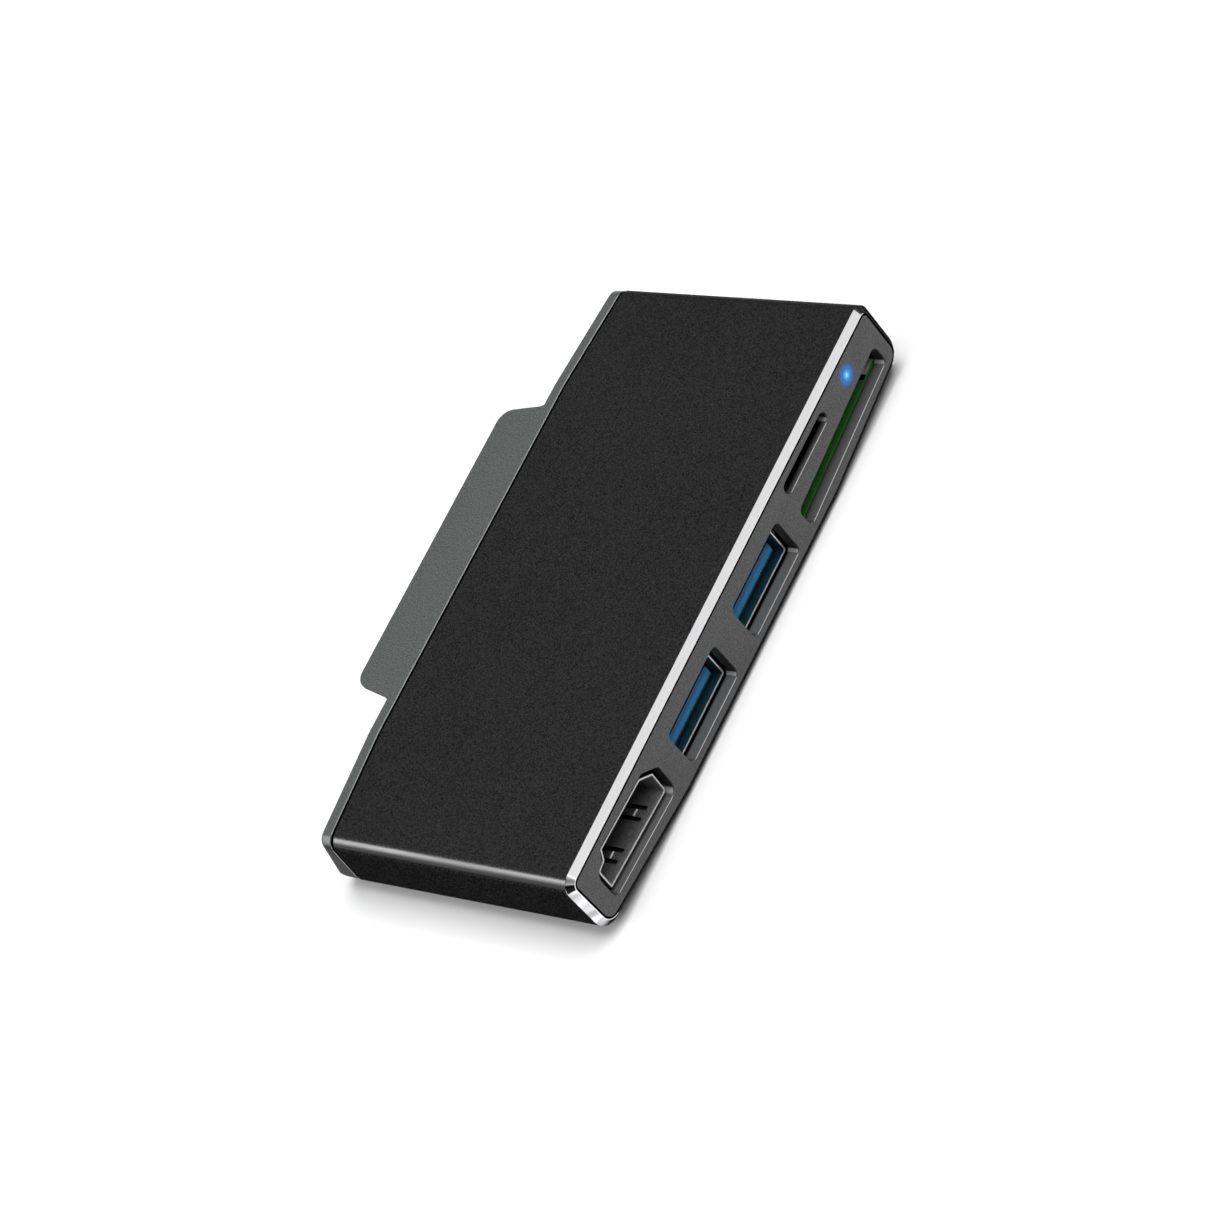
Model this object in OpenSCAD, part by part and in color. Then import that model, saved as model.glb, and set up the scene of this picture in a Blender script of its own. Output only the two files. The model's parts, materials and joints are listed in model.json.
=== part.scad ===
// Side-docking hub for a slim tablet. Two plugs stand out of one long edge, and
// the ports and card slots are in the opposite edge.
// Frame: +X towards the ports, +Y along the length, +Z up. The origin is under
// the middle of the whole object, on the surface it lies on.
// Depths named "d" are measured back from the outer face of the port fascia.

/* [Body] */
// Length of the body
body_len = 90; // [88:1:96]
// Thickness across the flat middle
body_t = 13; // [12.8:0.1:14]
// Thickness where the sloping underside would meet the end walls
end_t = 11.2; // [10.9:0.1:11.6]
// Half length of the flat that the hub rests on
flat_half = 23; // [18:1:26]
// Depth of the sleeve's top face
sleeve_d = 42.4; // [42:0.1:44]
// Wall of the extruded sleeve
wall = 1; // [0.9:0.05:1.1]
// Radius of the two upper long edges
top_r = 2.1; // [1.6:0.1:2.6]
// Radius of the two lower long edges
low_r = 3; // [2.4:0.1:3.4]
// Leg of the bright chamfer around the port end
chamfer = 0.8; // [0.5:0.1:0.9]

/* [Port fascia] */
// Gap between sleeve and fascia
fascia_gap = 0.25; // [0.15:0.05:0.35]
// Thickness of the fascia
fascia_t = 1.8; // [1.5:0.1:1.9]

/* [Plug end] */
// Width of the cap's band beside the sleeve's top face
cap_w = 2.1; // [1.6:0.1:2.6]
// Lean of the cap's outer face from the vertical, in degrees
cap_lean = 22.5; // [15:0.5:25]
// Lean of the joint between sleeve and cap, in degrees
joint_lean = 8; // [4:0.5:10]
// Sweep of both ends of that joint towards the ports, in degrees
end_sweep = 4.5; // [2:0.5:6]
// Distance from the fascia to the tip of the tongue
tongue_d = 51.1; // [49:0.1:53]
// Half width of the tongue at its root
tongue_half = 23.5; // [20:0.5:25]
// Place of the tongue's middle along the length
tongue_y = 0.85; // [0:0.05:1]
// Thickness of the tongue
tongue_t = 0.6; // [0.5:0.1:1]

/* [Plugs] */
// Distance from the fascia to the tip of the longer plug
plug_tip_d = 57; // [56:0.1:58]
// Distance from the fascia to the tip of the display plug
display_tip_d = 53.6; // [52:0.1:55]
// Distance of each plug from the middle
plug_y = 9.7; // [8:0.1:9.7]
// Height of both plugs' centres
plug_z = 5; // [4.8:0.1:5.2]

/* [Ports] */
// Centre of the USB port beside the card slots
usb1_y = 5.8; // [5.6:0.05:6]
// Centre of the USB port beside the display port
usb2_y = -13.25; // [-13.4:0.05:-13]
// Height of the USB ports' centres
usb_z = 5.6; // [5.5:0.05:5.7]
// Centre of the display port
hdmi_y = -32.4; // [-32.8:0.1:-32.2]
// Height of the display port's centre
hdmi_z = 7; // [6.9:0.05:7.1]
// Centre of the large card slot
sd_y = 29.05; // [28.9:0.05:29.2]
// Height of the large card slot's centre
sd_z = 4.8; // [4.75:0.05:4.9]
// Tilt of the display port and the large card slot, along the sloping underside, in degrees
port_tilt = 3.3; // [2.5:0.1:3.6]
// Centre of the small card slot
msd_y = 22.8; // [22.5:0.1:23]
// Height of the small card slot's centre
msd_z = 9.65; // [9.6:0.05:9.7]
// Travel of the large card socket's slider
sd_travel = 5.8; // [4:0.1:5.8]
// Travel of the small card socket's slider
msd_travel = 2.5; // [1.5:0.1:2.5]

/* [Indicator] */
// Position of the light along the length
led_y = 35.4; // [35:0.1:36]
// Height of the light
led_z = 9.4; // [9.2:0.1:9.6]
// Diameter of the light pipe
pipe_dia = 1.8; // [1.4:0.1:2]

/* [Hidden] */
$fn = 32;
x_front = plug_tip_d / 2;
far = 80;
slope = atan((body_t - end_t) / (body_len / 2 - flat_half));
cap_inset = 0.1;
joint_gap = 0.35;
fascia_inset = wall + fascia_gap;
// Boards
board_top = 3.3;
board_t = 0.8;
board_front_d = 1.95;
board_rear_d = 38.2;
main_end_y = 13.5;
plug_notch_d = 37;
card_top = 8.8;
// How far the tilted card bay sits below the main board's level, at its pivot
bay_drop = 0.2;
bay_y = [14.3, 38.6];
// Fit between a strip of metal and the slot it lies in
slot_gap = 0.02;
// Ports
usb_open = [13.8, 6.4];
usb_notch_half = 6.95;
usb_shell = [13.1, 5.72];
usb_rim_d = 1.9;
usb_back_d = 15.5;
sheet_t = 0.3;
hdmi_rim_d = 0.75;
hdmi_back_d = 12;
hdmi_h = 5.3;
hdmi_margin = 0.8;
hdmi_springs_y = [-3, 3.5];
sd_open = [25.4, 3.35];
msd_open = [12.4, 1.85];
card_w = 24;
small_card_w = 11;
// Large card socket: its depths behind the fascia and its slider's channel
sd_mouth_d = 5;
sd_rear_d = 33.5;
sd_end_d = 36.8;
sd_roof = 6.1;
sd_channel_y = sd_y - card_w / 2 - 2;
sd_hook_d = 26;
// Small card socket
msd_mouth_d = 3.6;
msd_end_d = 18.6;
msd_roof = 10.4;
msd_channel_y = msd_y + small_card_w / 2 + 0.3;
msd_hook_d = 12.4;
tray_bars_y = [-21.2, -3.7, 12.3];
screw_spots = [[10, -3.7], [22.5, -21.2], [35, -21.2], [29.5, 8]];
screw_r = 0.78;

// ---- Shared shapes ----

// A span of two values, measured from c
function about(c, span) = [c + span[0], c + span[1]];

function arc(c, r, a0, a1, n = 6) =
    [for (i = [0:n]) c + r * [cos(a0 + (a1 - a0) * i / n), sin(a0 + (a1 - a0) * i / n)]];
function flip(points) = [for (i = [len(points) - 1:-1:0]) [-points[i].x, points[i].y]];

// Half of the body's cross-section, drawn inside its surface by w
function half_outline(w) =
    let (h = body_len / 2 - w)
    let (rt = top_r - w)
    let (rb = low_r - w)
    let (fh = flat_half - w * tan(slope / 2))
    let (zc = w + (h - rb - fh) * tan(slope) + rb / cos(slope))
    concat([[fh, w]], arc([h - rb, zc], rb, slope - 90, 0), arc([h - rt, body_t - w - rt], rt, 0, 90));

module body_outline(w) {
    polygon(concat(half_outline(w), flip(half_outline(w))));
}

// Extrudes a section drawn in Y and Z from depth d0 back to depth d1
module prism(d0, d1) {
    translate([x_front - d1, 0, 0])
        rotate([90, 0, 90])
            linear_extrude(d1 - d0)
                children();
}

// A box between two depths, two places along the length and two heights
module block(d, y, z) {
    translate([x_front - d[1], y[0], z[0]])
        cube([d[1] - d[0], y[1] - y[0], z[1] - z[0]]);
}

// Turns the large card's bay about a line along X on its board, and lets it down
module in_card_bay() {
    translate([0, sd_y, board_top - bay_drop])
        rotate([port_tilt, 0, 0])
            translate([0, -sd_y, -board_top])
                children();
}

// Turns the display port about its own axis
module at_hdmi() {
    translate([0, hdmi_y, hdmi_z])
        rotate([-port_tilt, 0, 0])
            translate([0, -hdmi_y, -hdmi_z])
                children();
}

// A rectangle with round corners, centred
module round_rect(size, r) {
    h = size / 2 - [r, r];
    polygon(concat(
        arc([h.x, h.y], r, 0, 90, 5), arc([-h.x, h.y], r, 90, 180, 5),
        arc([-h.x, -h.y], r, 180, 270, 5), arc([h.x, -h.y], r, 270, 360, 5)));
}

// Everything behind the three planes of the sleeve's rear joint
module behind(d, lean) {
    for (side = [-1, 0, 1])
        translate([x_front - d, side * 28, body_t])
            rotate([0, 0, -side * end_sweep])
                rotate([0, lean, 0])
                    translate([-far, -far, -far])
                        cube([far, 2 * far, 2 * far]);
}

// A coil spring between two depths
module coil(d0, d1, y, z, r, wire_r, turns) {
    steps = 12;
    sides = 6;
    rings = turns * steps;
    lead = (d1 - d0 - 2 * wire_r) / rings;
    points = [for (i = [0:rings]) for (k = [0:sides - 1])
        let (a = 360 * i / steps)
        let (ring_r = r - wire_r + wire_r * cos(360 * k / sides))
        [x_front - d0 - wire_r - lead * i + wire_r * sin(360 * k / sides),
         y + ring_r * cos(a), z + ring_r * sin(a)]];
    skin = [for (i = [0:rings - 1]) for (k = [0:sides - 1])
        let (n = (k + 1) % sides)
        [i * sides + k, i * sides + n, (i + 1) * sides + n, (i + 1) * sides + k]];
    start_cap = [for (k = [sides - 1:-1:0]) k];
    end_cap = [for (k = [0:sides - 1]) rings * sides + k];
    polyhedron(points, concat(skin, [start_cap, end_cap]), convexity = 10);
}

// ---- Housing ----

module sleeve() {
    color("#1c1c1e")
    difference() {
        union() {
            prism(chamfer, sleeve_d + 4) body_outline(0);
            hull() {
                prism(chamfer, chamfer + 0.01) body_outline(0);
                prism(0, 0.01) body_outline(chamfer);
            }
        }
        prism(-1, far) body_outline(wall);
        behind(sleeve_d, joint_lean);
    }
}

// Half of the display port's section, narrow side up, grown by e
function hdmi_half(e) = [
    [7.65 + e, -hdmi_h / 2 - e],
    [7.65 + e, 0.3],
    [7.45 + e, 0.85 + e * 0.5],
    [6.9 + e * 0.8, 1.2 + e * 0.8],
    [6.3 + e * 0.6, 1.4 + e],
    [5.75 + e * 0.6, 2 + e],
    [5 + e * 0.3, hdmi_h / 2 + e]
];

module hdmi_outline(e) {
    translate([hdmi_y, hdmi_z])
        polygon(concat(hdmi_half(e), flip(hdmi_half(e))));
}

module port_fascia() {
    color("#59595b")
    difference() {
        union() {
            prism(0, fascia_t) body_outline(fascia_inset);
            prism(0.7, fascia_t) body_outline(wall + 0.01);
        }
        for (y = [usb1_y, usb2_y])
            prism(-1, far) translate([y, usb_z]) round_rect(usb_open, 0.8);
        at_hdmi() prism(-1, far) hdmi_outline(hdmi_margin);
        prism(-1, far) translate([sd_y, sd_z]) rotate(port_tilt) round_rect(sd_open, 0.9);
        prism(-1, far) translate([msd_y, msd_z]) round_rect(msd_open, 0.9);
        prism(-1, far) translate([led_y, led_z]) circle(d = pipe_dia + 0.04);
    }
}

// The tongue's outline in X and Y
module tongue_outline() {
    r = 2.3;
    splay = 11;
    tip = tongue_half - (tongue_d - sleeve_d - cap_w) * tan(splay);
    corner = [x_front - tongue_d + r, tip - r * (1 - sin(splay)) / cos(splay)];
    root = [x_front - sleeve_d - 0.8, tongue_half + (cap_w - 0.8) * tan(splay)];
    right = concat([root], arc(corner, r, 90 + splay, 180));
    translate([0, tongue_y])
        polygon(concat(right, [for (i = [len(right) - 1:-1:0]) [right[i].x, -right[i].y]]));
}

module plug_end_cap() {
    color("#6b6c6e")
    difference() {
        union() {
            difference() {
                union() {
                    intersection() {
                        prism(sleeve_d - 10, far) body_outline(cap_inset);
                        behind(sleeve_d + joint_gap, joint_lean);
                    }
                    // Spigot that fills the sleeve's rear mouth
                    difference() {
                        prism(39.6, sleeve_d + 2.2) body_outline(wall + 0.02);
                        prism(39, 41.6) body_outline(wall + 1);
                    }
                }
                behind(sleeve_d + cap_w, cap_lean);
            }
            translate([0, 0, body_t - cap_inset - tongue_t])
                linear_extrude(tongue_t)
                    tongue_outline();
        }
        prism(38, far) translate([plug_y, plug_z]) round_rect([12.1, 4.6], 0.35);
        prism(38, far) display_plug_outline(0.05);
    }
}

// ---- Boards and their carrier ----

module tray_holes(r) {
    for (spot = screw_spots)
        translate([x_front - spot[0], spot[1], 0])
            cylinder(r = r, h = body_t);
}

module board_tray() {
    color("#2c2c2e")
    difference() {
        union() {
            for (y = tray_bars_y)
                block([3, 37.5], [y - 0.9, y + 0.9], [wall, board_top - board_t]);
            for (d = [18.5, 32])
                block([d, d + 2], [-22.1, 14.2], [wall, wall + 0.8]);
            for (spot = screw_spots)
                translate([x_front - spot[0], spot[1], wall])
                    cylinder(r = 1.7, h = board_top - board_t - wall);
            block([28.5, 33], [7, 9], [wall, wall + 0.8]);
        }
        tray_holes(screw_r + 0.03);
    }
}

module tray_screws() {
    color("silver")
    for (spot = screw_spots)
        translate([x_front - spot[0], spot[1], 0]) {
            translate([0, 0, 1.3]) cylinder(r = screw_r, h = board_top - 1.3);
            difference() {
                translate([0, 0, board_top]) cylinder(r = 1.35, h = 0.7);
                translate([0, 0, board_top + 0.35]) {
                    translate([-0.8, -0.15, 0]) cube([1.6, 0.3, 1]);
                    translate([-0.15, -0.8, 0]) cube([0.3, 1.6, 1]);
                }
            }
        }
}

module main_board() {
    color("#1f6b2a")
    difference() {
        block([board_front_d, board_rear_d], [-40.4, main_end_y], [board_top - board_t, board_top]);
        for (y = [usb1_y, usb2_y])
            block([0, usb_back_d + 0.1], about(y, [-usb_notch_half, usb_notch_half]), [0, body_t]);
        block([plug_notch_d, far], [-17, 17], [0, body_t]);
        tray_holes(0.95);
    }
}

// The large card socket's own board, with a narrow lip in front of the socket's lug
module sd_board() {
    color("#1f6b2a")
    in_card_bay() {
        block([board_front_d, board_rear_d], bay_y, [board_top - board_t, board_top]);
        block([board_front_d, board_front_d + 0.35], [bay_y[1], 41.3], [board_top - board_t, board_top]);
    }
}

// Flat cable from the main board down to the large card's board
module board_link() {
    t = 0.12;
    lift = 0.01;
    bay = function(y) board_top - bay_drop + (y - sd_y) * tan(port_tilt) + lift;
    top = board_top + lift;
    color("#202020")
    prism(2.6, 4.6) polygon([
        [main_end_y - 0.7, top], [main_end_y + 0.1, top], [bay_y[0] + 0.2, bay(bay_y[0]) + 0.1],
        [bay_y[0] + 0.4, bay(bay_y[0] + 0.4)], [bay_y[0] + 1.7, bay(bay_y[0] + 1.7)],
        [bay_y[0] + 1.7, bay(bay_y[0] + 1.7) + t], [bay_y[0] + 0.5, bay(bay_y[0] + 0.5) + t],
        [main_end_y + 0.3, top + t], [main_end_y - 0.7, top + t]]);
}

// Foam strips between the sleeve's floor and the large card's board
module sd_board_tape() {
    color("#303030")
    for (y = [20, 33])
        difference() {
            intersection() {
                block([6, 36], [y - 1.5, y + 1.5], [0, board_top]);
                prism(0, far) body_outline(wall);
            }
            in_card_bay() block([0, far], [0, body_len], [board_top - board_t, body_t]);
        }
}

module card_board() {
    color("#1f6b2a")
    difference() {
        union() {
            block([2.2, 28.2], [12.7, 38.5], [card_top - board_t, card_top]);
            block([17.8, 28.2], [8, 13], [card_top - board_t, card_top]);
        }
        header_pins_at(0.2 + slot_gap, 9.4);
    }
}

// Eight pins that join the two boards
module header_pins_at(r, top) {
    for (i = [0:7])
        translate([x_front - 19 - i * 1.1, 10.4, board_top])
            translate([-r, -r, 0])
                cube([2 * r, 2 * r, top - board_top]);
}

module board_header() {
    color("#141414")
    difference() {
        block([18.2, 27.5], [9.4, 11.4], [board_top + 0.2, card_top - board_t]);
        header_pins_at(0.2 + slot_gap, body_t);
    }
}

module header_pins() {
    color("gold") header_pins_at(0.2, 9.4);
}

module card_board_tape() {
    color("#303030")
    difference() {
        block([9, 22], [31, 37.5], [sd_roof, card_top - board_t]);
        in_card_bay() block([0, far], [0, body_len], [0, sd_roof + 0.2]);
    }
}

// A flat chip on the main board
module chip(d, y, size, h, base = board_top) {
    block([d - size / 2, d + size / 2], [y - size / 2, y + size / 2], [base, base + h]);
}

module hub_chip() {
    color("#18181a") chip(23.5, -1.2, 9, 0.85);
}

module video_chip() {
    color("#18181a") chip(20, -31, 8, 0.85);
}

module reader_chip() {
    color("#18181a") chip(23, 33.6, 5, 0.8, card_top);
}

module crystal() {
    color("silver") block([30, 32.5], [-28.6, -25.4], [board_top, board_top + 0.7]);
}

module inductors() {
    color("#3a3a3c")
    for (y = [-38, -33.4])
        chip(33.6, y, 3.6, 1.8);
}

module capacitors() {
    color("#b58a3c")
    for (i = [0:2])
        block([19 + 4.2 * i, 22.2 + 4.2 * i], [-16.6, -13.8], [board_top, board_top + 1.6]);
}

module small_passives() {
    color("#8f7a5a")
    for (i = [0:5])
        for (side = [0, 1])
            block([18.4 + 1.9 * i, 19.4 + 1.9 * i], [-11.6 + 2.3 * side, -10 + 2.3 * side],
                  [board_top, board_top + 0.5]);
}

// ---- Display port ----

module hdmi_shell() {
    bottom = hdmi_z - hdmi_h / 2;
    color("silver")
    union() {
        at_hdmi()
        difference() {
            prism(hdmi_rim_d, hdmi_back_d) hdmi_outline(0);
            prism(-1, hdmi_back_d - sheet_t) hdmi_outline(-sheet_t);
            // Slots that free two springs in the wide wall
            for (y = hdmi_springs_y)
                for (s = [-0.75, 0.75])
                    block([hdmi_rim_d + 1.2, hdmi_rim_d + 5.6], about(hdmi_y + y + s, [-0.22, 0.22]),
                          [bottom - 0.1, bottom + sheet_t + 0.1]);
            block([hdmi_back_d - 1, hdmi_back_d + 1], about(hdmi_y, [-5, 5]), about(hdmi_z, [-0.9, 0.9]));
        }
        // Legs that are soldered to the main board
        difference() {
            for (y = [hdmi_y - 7.6, hdmi_y + 7])
                for (d = [3, 8.6])
                    block([d, d + 1.6], [y, y + 0.6], [board_top, bottom + 0.9]);
            at_hdmi() prism(-1, far) hdmi_outline(-sheet_t);
        }
    }
}

// Nineteen contacts in two rows, on both faces of the port's tongue
module hdmi_contact_strips(g) {
    for (i = [0:18])
        let (y = hdmi_y - 4.5 + 0.5 * i)
        let (up = i % 2)
        block([hdmi_rim_d + 3.2 - g, hdmi_back_d + 1 + g], [y - 0.13 - g, y + 0.13 + g],
              up == 1 ? [hdmi_z + 0.42 - g, hdmi_z + 0.56] : [hdmi_z - 0.56, hdmi_z - 0.42 + g]);
}

module hdmi_insulator() {
    color("#161616")
    at_hdmi()
    difference() {
        union() {
            block([hdmi_rim_d + 2.8, hdmi_back_d + 0.8], [hdmi_y - 4.95, hdmi_y + 4.95],
                  [hdmi_z - 0.55, hdmi_z + 0.55]);
            prism(hdmi_back_d - 2.4, hdmi_back_d - sheet_t - 0.02) hdmi_outline(-sheet_t - 0.05);
        }
        hdmi_contact_strips(slot_gap);
    }
}

module hdmi_contacts() {
    color("gold") at_hdmi() hdmi_contact_strips(0);
}

// ---- USB ports ----

module usb_shell_at(y) {
    inner = usb_shell - [2 * sheet_t, 2 * sheet_t];
    color("#c4c6c8")
    union() {
        difference() {
            prism(usb_rim_d, usb_back_d) translate([y, usb_z]) round_rect(usb_shell, 0.5);
            prism(-1, far) translate([y, usb_z]) round_rect(inner, 0.25);
            // Slots beside the springs in the top and bottom walls
            for (s = [-4.6, -1.9, 1.9, 4.6])
                block([usb_rim_d + 2.4, usb_rim_d + 7.6], [y + s - 0.2, y + s + 0.2], [0, body_t]);
        }
        // Wings that are soldered to the board on both sides of its notch
        for (side = [[-7.7, -6.5], [6.5, 7.7]])
            block([8, 10.4], about(y, side), [board_top, board_top + sheet_t]);
    }
}

// Four wide contacts along the top of the tongue
module usb_contact_strips(y, g) {
    for (i = [0:3])
        let (c = y + [-3.5, -1, 1, 3.5][i])
        block([usb_rim_d + 1.8 - g, usb_back_d + 2 + g], [c - 0.5 - g, c + 0.5 + g],
              [usb_z - 0.18 - g, usb_z - 0.03]);
}

module usb_insulator_at(y) {
    color("#1f6fb0")
    difference() {
        union() {
            block([usb_rim_d + 1, usb_back_d], [y - 5.5, y + 5.5], [usb_z - 1.9, usb_z - 0.05]);
            prism(usb_rim_d + 8.6, usb_back_d) translate([y, usb_z])
                round_rect(usb_shell - [0.64, 0.64], 0.2);
            block([usb_back_d - 0.1, usb_back_d + 1.6], [y - 5.6, y + 5.6], [board_top, usb_z + 1.3]);
        }
        usb_contact_strips(y, slot_gap);
    }
}

module usb_contacts_at(y) {
    color("gold")
    union() {
        usb_contact_strips(y, 0);
        // Legs down to the main board
        for (c = [-3.5, -1, 1, 3.5])
            block([usb_back_d + 1.75, usb_back_d + 2], about(y + c, [-0.5, 0.5]),
                  [board_top, usb_z - 0.03]);
    }
}

module usb_port_1_shell() usb_shell_at(usb1_y);
module usb_port_1_insulator() usb_insulator_at(usb1_y);
module usb_port_1_contacts() usb_contacts_at(usb1_y);
module usb_port_2_shell() usb_shell_at(usb2_y);
module usb_port_2_insulator() usb_insulator_at(usb2_y);
module usb_port_2_contacts() usb_contacts_at(usb2_y);

// ---- Large card socket ----

module sd_cover() {
    low = sd_channel_y - 0.5;
    high = sd_y + card_w / 2 + 0.7;
    color("#a9a27c")
    in_card_bay() {
        difference() {
            block([sd_mouth_d, sd_end_d], [low - 0.2, high + 0.2], [sd_roof, sd_roof + 0.2]);
            // Window that shows whether a card is in
            block([11, 17], [sd_y - 5, sd_y + 3], [0, body_t]);
        }
        block([sd_mouth_d, sd_end_d], [low - 0.2, low], [board_top, sd_roof]);
        block([sd_mouth_d, sd_end_d], [high, high + 0.2], [board_top - 0.2, sd_roof]);
        // Lug beside the card's free edge, behind the board's lip
        block([board_front_d + 0.4, sd_mouth_d + 4], [bay_y[1] + 0.9, high + 0.2],
              [board_top - 0.2, board_top + 0.1]);
    }
}

module sd_contact_strips(g) {
    for (i = [0:8])
        let (c = sd_y + 9.4 - 2.4 * i)
        block([22 - g, sd_end_d + 1], about(c, [-0.45 - g, 0.45 + g]),
              [board_top + 0.25 - g, board_top + 0.4]);
}

module sd_base() {
    low = sd_channel_y - 0.5;
    high = sd_y + card_w / 2 + 0.7;
    color("#1b1b1b")
    in_card_bay()
    difference() {
        union() {
            // Floor under the contacts, rear wall and the two sides
            block([21, sd_end_d], [low, bay_y[1]], [board_top, board_top + 0.4]);
            block([sd_rear_d, sd_end_d], [sd_channel_y + 1.9, high], [board_top + 0.3, sd_roof]);
            block([9.1, sd_end_d], [high - 0.6, high], [board_top + 0.3, sd_roof]);
            block([sd_mouth_d, sd_end_d], [low, sd_channel_y], [board_top, sd_roof]);
            block([sd_end_d - 0.4, sd_end_d], [low, high], [board_top + 0.3, sd_roof]);
            // Stop in front of the slider
            block([sd_hook_d - 8.5, sd_hook_d - 5.6], [low, sd_channel_y + 1.7], [board_top, sd_roof]);
        }
        sd_contact_strips(slot_gap);
    }
}

module sd_contacts() {
    color("gold") in_card_bay() sd_contact_strips(0);
}

module sd_slider() {
    low = board_top + 0.45;
    color("#d8d8d0")
    in_card_bay() {
        block([sd_hook_d - 5.5, sd_hook_d + 1], about(sd_channel_y, [0.1, 1.7]), [low, sd_roof - 0.1]);
        // Foot that the card's leading edge pushes
        block([sd_hook_d, sd_hook_d + 1], about(sd_channel_y, [0.1, 5]), [low + 0.1, sd_roof - 0.1]);
    }
}

module sd_spring() {
    color("silver")
    in_card_bay()
        coil(sd_hook_d + 1.02, sd_end_d - 0.42, sd_channel_y + 0.9, (board_top + 0.4 + sd_roof) / 2,
             0.75, 0.12, 8);
}

// ---- Small card socket ----

module microsd_cover() {
    low = msd_y - small_card_w / 2 - 0.5;
    high = msd_channel_y + 1.5;
    color("#c4c6c8")
    union() {
        block([msd_mouth_d, msd_end_d], [low - 0.15, high + 0.15], [msd_roof, msd_roof + 0.15]);
        for (y = [low - 0.15, high])
            block([msd_mouth_d, msd_end_d], [y, y + 0.15], [card_top, msd_roof]);
    }
}

module microsd_contact_strips(g) {
    for (i = [0:7])
        let (c = msd_y + 3.9 - 1.1 * i)
        block([9 - g, msd_end_d + 0.7], [c - 0.3 - g, c + 0.3 + g], [card_top + 0.15 - g, card_top + 0.25]);
}

module microsd_base() {
    low = msd_y - small_card_w / 2 - 0.5;
    high = msd_channel_y + 1.5;
    color("#1b1b1b")
    difference() {
        union() {
            block([msd_mouth_d, msd_end_d], [low, high], [card_top, card_top + 0.25]);
            block([msd_mouth_d, msd_end_d], [low, low + 0.4], [card_top, msd_roof]);
            block([msd_mouth_d, msd_end_d], [high - 0.3, high], [card_top, msd_roof]);
            block([msd_end_d - 1.2, msd_end_d], [low, msd_channel_y - 0.3], [card_top, msd_roof]);
            block([msd_end_d - 0.3, msd_end_d], [low, high], [card_top, msd_roof]);
            // Stop in front of the slider
            block([msd_hook_d - 4, msd_hook_d - 3.1], [msd_channel_y, high], [card_top, msd_roof]);
        }
        microsd_contact_strips(slot_gap);
    }
}

module microsd_contacts() {
    color("gold") microsd_contact_strips(0);
}

module microsd_slider() {
    low = card_top + 0.3;
    color("#d8d8d0")
    union() {
        block([msd_hook_d - 3, msd_hook_d + 0.8], about(msd_channel_y, [0.05, 1.1]),
              [low, msd_roof - 0.05]);
        // Foot that the card's leading edge pushes
        block([msd_hook_d, msd_hook_d + 0.8], about(msd_channel_y, [-2.4, 1.1]),
              [low + 0.02, msd_roof - 0.05]);
    }
}

module microsd_spring() {
    color("silver")
        coil(msd_hook_d + 0.82, msd_end_d - 0.32, msd_channel_y + 0.58, (card_top + 0.25 + msd_roof) / 2,
             0.5, 0.08, 7);
}

// ---- Indicator ----

module led() {
    color("#f2f2e6")
    union() {
        block([2.3, 3.5], [led_y - 0.8, led_y + 0.8], [card_top, card_top + 1.1]);
        block([3.5, 4.1], [led_y - 1.2, led_y + 1.2], [card_top, card_top + 0.4]);
    }
}

module light_pipe() {
    color("#9fd0ff")
    translate([x_front, led_y, led_z])
        rotate([0, -90, 0]) {
            cylinder(d = pipe_dia, h = fascia_t);
            translate([0, 0, fascia_t]) cylinder(d = pipe_dia + 0.6, h = 0.35);
        }
}

// ---- Plugs ----

module usb_plug_shell() {
    color("#c8cacc")
    difference() {
        prism(plug_notch_d + 2, plug_tip_d) translate([plug_y, plug_z]) round_rect([12, 4.5], 0.3);
        prism(plug_notch_d - 1, far) translate([plug_y, plug_z]) round_rect([11.4, 3.9], 0.15);
        // Latch windows in the top and bottom walls
        for (s = [-1, 1])
            block([51, 53.2], about(plug_y + 2.6 * s, [-1, 1]), [0, body_t]);
    }
}

module usb_plug_strips(g) {
    for (c = [-3.5, -1, 1, 3.5])
        block([plug_notch_d - 1.6 - g, plug_tip_d - 1.4 + g], about(plug_y + c, [-0.5 - g, 0.5 + g]),
              [plug_z - 0.15 - g, plug_z + 0.01]);
}

module usb_plug_insulator() {
    low = plug_z - 1.93;
    color("#1f6fb0")
    difference() {
        union() {
            block([plug_notch_d + 1.9, plug_tip_d - 0.4], about(plug_y, [-5.6, 5.6]), [low, plug_z]);
            block([plug_notch_d + 1.9, 45.4], about(plug_y, [-5.6, 5.6]), [low, plug_z + 1.93]);
            block([plug_notch_d + 0.1, plug_notch_d + 2], about(plug_y, [-6, 6]), [low, plug_z + 2.2]);
        }
        usb_plug_strips(slot_gap);
    }
}

module usb_plug_contacts() {
    color("gold") usb_plug_strips(0);
}

// The display plug's section, with its lower corners cut away, grown by e
module display_plug_outline(e) {
    w = 3.75 + e;
    h = 2.3 + e;
    cut = 1.25;
    translate([-plug_y, plug_z])
        polygon([[-w, h], [-w, -h + cut], [-w + cut, -h], [w - cut, -h], [w, -h + cut], [w, h]]);
}

module display_plug_shell() {
    color("#c8cacc")
    difference() {
        prism(plug_notch_d + 2, display_tip_d) display_plug_outline(0);
        prism(plug_notch_d - 1, far) display_plug_outline(-sheet_t);
    }
}

module display_plug_strips(g) {
    for (i = [0:9])
        let (y = -plug_y - 2.7 + 0.6 * i)
        for (up = [0, 1])
            block([plug_notch_d - 1.2 - g, display_tip_d - 1 + g], [y - 0.14 - g, y + 0.14 + g],
                  up == 1 ? [plug_z + 0.4 - g, plug_z + 0.52 + g] : [plug_z - 0.52 - g, plug_z - 0.4 + g]);
}

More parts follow.
